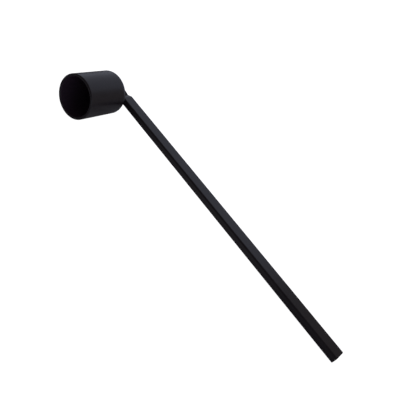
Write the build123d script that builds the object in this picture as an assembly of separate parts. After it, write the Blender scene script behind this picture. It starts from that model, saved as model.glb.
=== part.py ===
from build123d import *
import os
from math import asin, atan2, degrees, hypot, tan, radians

# A candle snuffer: a drawn steel cup welded to the end of a long solid handle.
#
# The pieces are modelled as the snuffer is held over a candle. The cup's axis is Z, its mouth is
# at height 0 and faces down, and the handle runs along +X above the cup. At the end the whole
# snuffer is laid on its side, as it lies on a table: the mouth faces -Y, the handle runs along
# +X, and the cup's side and the handle's far end rest on the plane Z = 0. All sizes are in mm.

# Cup: a drawn shell, slightly narrower at its closed back.
mouth_diameter = 25.0
back_diameter = 24.2
cup_length = 29.15
bore_diameter = 22.1
back_wall = 1.5
back_edge_radius = 3.4
bore_corner_radius = 2.2
rim_edge_radius = 0.6           # softens the inner and outer edges of the rim

# Handle: a rectangular bar with rounded long edges, wider and thicker towards its free end.
handle_reach = 192.8            # from the cup's axis to the free end
centreline_height = 35.45       # of the handle's centreline, above the mouth
near_depth, near_width = 7.8, 3.8
far_depth, far_width = 8.7, 4.65
bar_edge_radius = 1.0
free_end_bevel = 0.3

# Neck: a round stem that leaves the cup's back square, turns, and is pinched before the bar.
stem_diameter = 5.4
stem_flat = 0.2                 # width of the narrow flats left on the stem's four sides
bend_radius = 2.8
pinch_depth = 6.05
pinch_reach, pinch_width = 4.7, 2.0
slope_reach, slope_width = 5.6, 2.6
pinch_edge_radius = 0.5
bar_start = 7.2                 # from the cup's axis to the bar's full section

# Weld bead round the foot of the stem.
weld_leg = 1.2                  # how far it spreads over the cup's back
weld_height = 1.0               # how far it climbs the stem
weld_lip = 0.12                 # its thickness where it ends on the stem

stem_length = centreline_height - bend_radius - cup_length


def make_cup():
    """A round shell with a rounded closed back and softened rim edges."""
    on_mouth = (Align.CENTER, Align.CENTER, Align.MIN)
    body = Cone(mouth_diameter / 2, back_diameter / 2, cup_length, align=on_mouth)
    body = fillet(body.edges().sort_by(Axis.Z)[-1], back_edge_radius)
    hollow = Cylinder(bore_diameter / 2, cup_length - back_wall, align=on_mouth)
    hollow = fillet(hollow.edges().sort_by(Axis.Z)[-1], bore_corner_radius)
    shell = body - hollow
    rim_edges = shell.faces().sort_by(Axis.Z)[0].edges()
    return fillet(rim_edges, rim_edge_radius)


def stem_section(plane, growth=0.0):
    """The stem's all but round section, grown outwards on all sides."""
    side = stem_diameter + 2 * growth
    return plane * RectangleRounded(side, side, (side - stem_flat) / 2)


def handle_plane(reach):
    """The plane square to the handle at a distance from the cup's axis."""
    return Plane(origin=(reach, 0, centreline_height), x_dir=(0, 0, -1), z_dir=(1, 0, 0))


def handle_section(reach, depth, width, edge_radius):
    """A rounded rectangle square to the handle at a distance from the cup's axis."""
    return handle_plane(reach) * RectangleRounded(depth, width, edge_radius)


def make_handle():
    """Straight stem, tight bend, pinched neck, bar and bevelled free end, in one solid."""
    foot_plane = Plane(origin=(0, 0, cup_length))
    bend_plane = Plane(origin=(0, 0, cup_length + stem_length))
    bend_axis = Axis((bend_radius, 0, cup_length + stem_length), (0, 1, 0))
    handle = extrude(stem_section(foot_plane), stem_length)
    handle += revolve(stem_section(bend_plane), bend_axis, 90)

    bar_end = handle_reach - free_end_bevel
    end_depth = far_depth - 2 * free_end_bevel
    end_width = far_width - 2 * free_end_bevel
    sections = [
        stem_section(handle_plane(bend_radius)),
        handle_section(pinch_reach, pinch_depth, pinch_width, pinch_edge_radius),
        handle_section(slope_reach, pinch_depth, slope_width, pinch_edge_radius),
        handle_section(bar_start, near_depth, near_width, bar_edge_radius),
        handle_section(bar_end, far_depth, far_width, bar_edge_radius),
        handle_section(handle_reach, end_depth, end_width, bar_edge_radius),
    ]
    for nearer, farther in zip(sections, sections[1:]):
        handle += loft([nearer, farther], ruled=True)
    return handle


def make_weld_bead():
    """A sloping ring of weld metal in the corner between the stem and the cup's back."""
    on_back = Plane(origin=(0, 0, cup_length))
    on_stem = Plane(origin=(0, 0, cup_length + weld_height))
    mound = loft([stem_section(on_back, weld_leg), stem_section(on_stem, weld_lip)], ruled=True)
    return mound - extrude(stem_section(on_back), stem_length)


def lying_position():
    """The turn that lays the snuffer on its side, resting on the cup and the handle's end."""
    draft = degrees(atan2((mouth_diameter - back_diameter) / 2, cup_length))
    # The rounded lower edge of the free end touches the table, beyond the handle's centreline.
    reach = handle_reach - free_end_bevel
    half_width = far_width / 2 - bar_edge_radius
    far_edge_height = centreline_height + far_depth / 2 - bar_edge_radius
    drop = mouth_diameter / 2 - bar_edge_radius - far_edge_height * tan(radians(draft))
    roll = degrees(asin(drop / hypot(reach, half_width)) - atan2(half_width, reach))
    return Rot(X=-draft) * Rot(Y=roll) * Rot(X=-90)


def lay_down(pieces):
    """Lay all the pieces down together, with the origin under the middle of the snuffer."""
    lying = {name: lying_position() * piece for name, piece in pieces.items()}
    box = Compound(list(lying.values())).bounding_box()
    to_origin = Pos(-box.center().X, -box.center().Y, -box.min.Z)
    return {name: to_origin * piece for name, piece in lying.items()}


snuffer = lay_down({"cup": make_cup(), "handle": make_handle(), "weld_bead": make_weld_bead()})

os.makedirs("parts", exist_ok=True)
for name, piece in snuffer.items():
    export_step(piece, f"parts/{name}.step")
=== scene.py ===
from math import pi, radians

import bpy
from mathutils import Matrix, Vector


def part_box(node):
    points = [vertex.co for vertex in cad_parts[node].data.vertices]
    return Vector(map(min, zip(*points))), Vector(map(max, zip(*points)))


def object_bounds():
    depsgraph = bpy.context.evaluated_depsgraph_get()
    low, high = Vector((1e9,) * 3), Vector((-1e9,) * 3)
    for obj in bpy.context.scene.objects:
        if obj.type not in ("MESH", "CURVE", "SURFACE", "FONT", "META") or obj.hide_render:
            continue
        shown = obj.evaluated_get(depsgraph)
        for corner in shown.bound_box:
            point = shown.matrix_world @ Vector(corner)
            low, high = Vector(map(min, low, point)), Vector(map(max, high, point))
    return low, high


# A satin black candle snuffer lying on a white studio table. Lengths are in metres, in the packed
# model's frame: +Z up from the table, +X along the handle, -Y out of the cup's mouth. Colours are
# linear.

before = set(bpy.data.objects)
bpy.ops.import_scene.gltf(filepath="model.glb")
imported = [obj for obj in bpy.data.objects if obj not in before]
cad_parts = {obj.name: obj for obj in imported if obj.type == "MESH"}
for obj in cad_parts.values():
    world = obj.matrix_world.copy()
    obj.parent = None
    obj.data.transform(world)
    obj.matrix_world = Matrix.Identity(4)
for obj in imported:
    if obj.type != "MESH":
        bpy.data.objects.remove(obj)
cad_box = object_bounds()

MM = 0.001

# The coating's two tones, and its colour and roughness inside the cup. The colour there is lighter
# and purple-brown: painted light that stands in for light in the hollow.
FILM_DARK = (0.019, 0.014, 0.0185, 1)
FILM_LIGHT = (0.025, 0.019, 0.0245, 1)
INSIDE_PAINTED_LIGHT = (0.07, 0.044, 0.066, 1)
INSIDE_ROUGHNESS = 0.5
PEEL_DEPTH = 0.03 * MM

# The studio: its tables and backdrop, and the grey of its surroundings.
TABLE_WIDTH = 6.0
TABLE_GAP = 0.1 * MM
BACKDROP_HEIGHT = 3.0
SURROUNDINGS_LIGHT = (0.200, 0.184, 0.188, 1)
SURROUNDINGS_DARK = (0.080, 0.073, 0.076, 1)
DARK_DIRECTION = (0.0, -0.8, 0.6)

# The camera looks at a point a little off the middle of the snuffer's box.
AZIMUTH, ELEVATION, ROLL = radians(16.99), radians(35.45), radians(38.44)
CAMERA_DISTANCE = 0.3375
AIM_OFF_MIDDLE = Vector((1.1, 1.6, 1.7)) * MM
SENSOR_MM, LENS_MM = 36.0, 55.2


def grey(level):
    """A neutral colour."""
    return (level, level, level, 1)


def add_object(name, data):
    """A new object in the scene."""
    obj = bpy.data.objects.new(name, data)
    bpy.context.scene.collection.objects.link(obj)
    return obj


def look_at(obj, place, target, roll=0.0):
    """Put an object at a place, its -Z axis towards a target, then roll it about that axis."""
    turn = (Vector(target) - Vector(place)).to_track_quat("-Z", "Y").to_matrix().to_4x4()
    obj.matrix_world = Matrix.Translation(place) @ turn @ Matrix.Rotation(roll, 4, "Z")


def set_inputs(node, **values):
    """Set a node's named inputs; an underscore in a keyword stands for a space."""
    for name, value in values.items():
        node.inputs[name.replace("_", " ")].default_value = value


def add_noise(tree, place, **values):
    """Noise at a place, as a number from about 0 to 1; W picks one noise of many."""
    noise = tree.nodes.new("ShaderNodeTexNoise")
    noise.noise_dimensions = "4D"
    set_inputs(noise, **values)
    tree.links.new(place, noise.inputs["Vector"])
    return noise.outputs["Fac"]


def add_range(tree, value, **values):
    """A number carried evenly from one range to another, and held at the ends."""
    carried = tree.nodes.new("ShaderNodeMapRange")
    set_inputs(carried, **values)
    tree.links.new(value, carried.inputs["Value"])
    return carried.outputs["Result"]


def add_ramp(tree, value, start, end):
    """A blend of two colours; the start and the end are each a position and its colour."""
    ramp = tree.nodes.new("ShaderNodeValToRGB")
    for element, (position, color) in zip(ramp.color_ramp.elements, (start, end)):
        element.position = position
        element.color = color
    tree.links.new(value, ramp.inputs["Fac"])
    return ramp.outputs["Color"]


def add_math(tree, kind, operation, first, second, output="Value"):
    """The result of a math node on two inputs, each another node's output or a fixed value."""
    node = tree.nodes.new(kind)
    node.operation = operation
    for socket, value in zip(node.inputs, (first, second)):
        if isinstance(value, bpy.types.NodeSocket):
            tree.links.new(value, socket)
        else:
            socket.default_value = value
    return node.outputs[output]


def new_material(name):
    """A new material with a Principled shader."""
    material = bpy.data.materials.new(name)
    material.use_nodes = True
    return material


def satin_black(name, seed):
    """Baked black coating on steel: a dark satin film with a fine orange-peel surface."""
    material = new_material(name)
    tree = material.node_tree
    shader = tree.nodes["Principled BSDF"]
    set_inputs(shader, IOR=1.5)
    place = tree.nodes.new("ShaderNodeTexCoord").outputs["Object"]

    # Broad, faint changes of tone in the film, and of its gloss with them.
    tone = add_noise(tree, place, W=seed, Scale=90.0, Detail=3.0, Roughness=0.55)
    film = add_ramp(tree, tone, (0.35, FILM_DARK), (0.65, FILM_LIGHT))
    roughness = add_range(tree, tone, From_Min=0.3, From_Max=0.7, To_Min=0.27, To_Max=0.35)
    tree.links.new(film, shader.inputs["Base Color"])
    tree.links.new(roughness, shader.inputs["Roughness"])

    # Orange peel: the small, soft dimples of a sprayed film, from a noise of their own.
    peel = add_noise(tree, place, W=seed + 5.0, Scale=1400.0, Detail=2.0, Roughness=0.5)
    bump = tree.nodes.new("ShaderNodeBump")
    set_inputs(bump, Strength=0.25, Distance=PEEL_DEPTH)
    tree.links.new(peel, bump.inputs["Height"])
    tree.links.new(bump.outputs["Normal"], shader.inputs["Normal"])
    return material


def paint_light_and_roughen_inside(material, middle):
    """Make the film rougher on faces that look towards a hollow's middle, and paint light there: a
    lighter purple-brown colour stands in for light in the hollow.
    """
    tree = material.node_tree
    shader = tree.nodes["Principled BSDF"]
    place = tree.nodes.new("ShaderNodeTexCoord")
    here, normal = place.outputs["Object"], place.outputs["Normal"]
    outward = add_math(tree, "ShaderNodeVectorMath", "SUBTRACT", here, middle, output="Vector")
    facing = add_math(tree, "ShaderNodeVectorMath", "DOT_PRODUCT", normal, outward)
    inside = add_math(tree, "ShaderNodeMath", "LESS_THAN", facing, 0.0)

    # The mix is of colours, so the roughness goes through it as a grey. Inside, the base colour
    # becomes the painted light.
    for socket, inside_value in (("Base Color", INSIDE_PAINTED_LIGHT), ("Roughness", grey(INSIDE_ROUGHNESS))):
        usual = shader.inputs[socket].links[0].from_socket
        mix = tree.nodes.new("ShaderNodeMixRGB")
        mix.inputs["Color2"].default_value = inside_value
        tree.links.new(inside, mix.inputs["Fac"])
        tree.links.new(usual, mix.inputs["Color1"])
        tree.links.new(mix.outputs["Color"], shader.inputs[socket])


def coat_pieces():
    """Coat each CAD piece in a satin black of its own, rougher inside the cup, where its colour is
    painted light.
    """
    for seed, (name, node) in enumerate(sorted(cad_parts.items())):
        node.data.materials.clear()
        node.data.materials.append(satin_black(f"{name}_coating", float(seed)))
    cup_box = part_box("cup")
    paint_light_and_roughen_inside(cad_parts["cup"].data.materials[0], (cup_box[0] + cup_box[1]) / 2)


def make_table(name, height, wall_height, glow, albedo):
    """A wide square table top, with a wall round it unless the wall's height is 0."""
    half = TABLE_WIDTH / 2
    outline = [(-half, -half), (half, -half), (half, half), (-half, half)]
    corners = [(x, y, z) for z in (height, height + wall_height) for x, y in outline]
    faces = [(0, 1, 2, 3)]
    if wall_height:
        faces += [(i, (i + 1) % 4, (i + 1) % 4 + 4, i + 4) for i in range(4)]
    mesh = bpy.data.meshes.new(name)
    mesh.from_pydata(corners, [], faces)
    table = add_object(name, mesh)
    material = new_material(name)
    set_inputs(
        material.node_tree.nodes["Principled BSDF"],
        Base_Color=grey(albedo),
        Roughness=0.9,
        Specular_IOR_Level=0.0,
        Emission_Color=grey(1.0),
        Emission_Strength=glow,
    )
    mesh.materials.append(material)
    return table


def add_pool_of_light(table, middle, bright_radius, dark_radius, glow, dim_glow):
    """Make a round part of a table top glow, fading to a dimmer glow between two radii."""
    tree = table.active_material.node_tree
    place = tree.nodes.new("ShaderNodeTexCoord").outputs["Object"]
    distance = add_math(tree, "ShaderNodeVectorMath", "DISTANCE", place, middle)
    fade = add_range(
        tree,
        distance,
        From_Min=bright_radius,
        From_Max=dark_radius,
        To_Min=glow,
        To_Max=dim_glow,
    )
    tree.links.new(fade, tree.nodes["Principled BSDF"].inputs["Emission Strength"])


def make_tables():
    """A glowing white table and backdrop for the camera, and a pale table for the film to mirror."""
    seen = make_table("table_top", height=0.0, wall_height=BACKDROP_HEIGHT, glow=1.0, albedo=0.8)
    seen.visible_glossy = False
    seen.visible_diffuse = False
    seen.visible_shadow = False
    mirrored = make_table("table_mirrored", height=-TABLE_GAP, wall_height=0.0, glow=0.0, albedo=0.78)
    mirrored.visible_camera = False
    add_pool_of_light(
        mirrored,
        middle=(-0.005, -0.02, 0.0),
        bright_radius=0.040,
        dark_radius=0.080,
        glow=0.090,
        dim_glow=0.015,
    )


def make_world():
    """Dim studio surroundings, darker overhead and in front."""
    world = bpy.data.worlds.new("studio")
    world.use_nodes = True
    bpy.context.scene.world = world
    tree = world.node_tree
    direction = tree.nodes.new("ShaderNodeTexCoord").outputs["Generated"]
    forward = add_math(tree, "ShaderNodeVectorMath", "DOT_PRODUCT", direction, DARK_DIRECTION)
    tone = add_ramp(tree, forward, (0.0, SURROUNDINGS_LIGHT), (0.35, SURROUNDINGS_DARK))
    tree.links.new(tone, tree.nodes["Background"].inputs["Color"])


def add_softbox(name, place, target, size, radiance, color):
    """A rectangular softbox whose face has the given radiance."""
    light = bpy.data.lights.new(name, "AREA")
    light.shape = "RECTANGLE"
    light.size, light.size_y = size
    light.energy = radiance * size[0] * size[1] * pi
    light.color = color
    look_at(add_object(name, light), place, target)


def add_softboxes():
    """A large and a small one behind the snuffer, and one at its right for views from behind."""
    add_softbox(
        "back_softbox",
        place=(-0.23, 0.25, 0.25),
        target=(-0.23, 0.0, 0.25),
        size=(0.54, 0.48),
        radiance=0.300,
        color=(0.81, 0.94, 1.25),
    )
    add_softbox(
        "low_softbox",
        place=(-0.38, 0.24, 0.07),
        target=(-0.38, 0.0, 0.07),
        size=(0.24, 0.12),
        radiance=0.09,
        color=(0.9, 0.97, 1.13),
    )
    add_softbox(
        "right_softbox",
        place=(0.56, -0.34, 0.21),
        target=(0.0, 0.0, 0.0),
        size=(0.60, 0.40),
        radiance=0.50,
        color=(0.86, 0.96, 1.18),
    )


def make_camera():
    """The photograph's viewing angle: in front of the mouth, above, and rolled to the right."""
    aim = (cad_box[0] + cad_box[1]) / 2 + AIM_OFF_MIDDLE
    away = Vector((0, -CAMERA_DISTANCE, 0))
    away.rotate(Matrix.Rotation(AZIMUTH, 3, "Z") @ Matrix.Rotation(-ELEVATION, 3, "X"))
    camera = add_object("camera", bpy.data.cameras.new("camera"))
    camera.data.sensor_width = SENSOR_MM
    camera.data.lens = LENS_MM
    camera.data.clip_start = 0.01
    look_at(camera, aim + away, aim, ROLL)
    bpy.context.scene.camera = camera


coat_pieces()
make_tables()
make_world()
add_softboxes()
make_camera()
bpy.context.scene.view_settings.view_transform = "Standard"
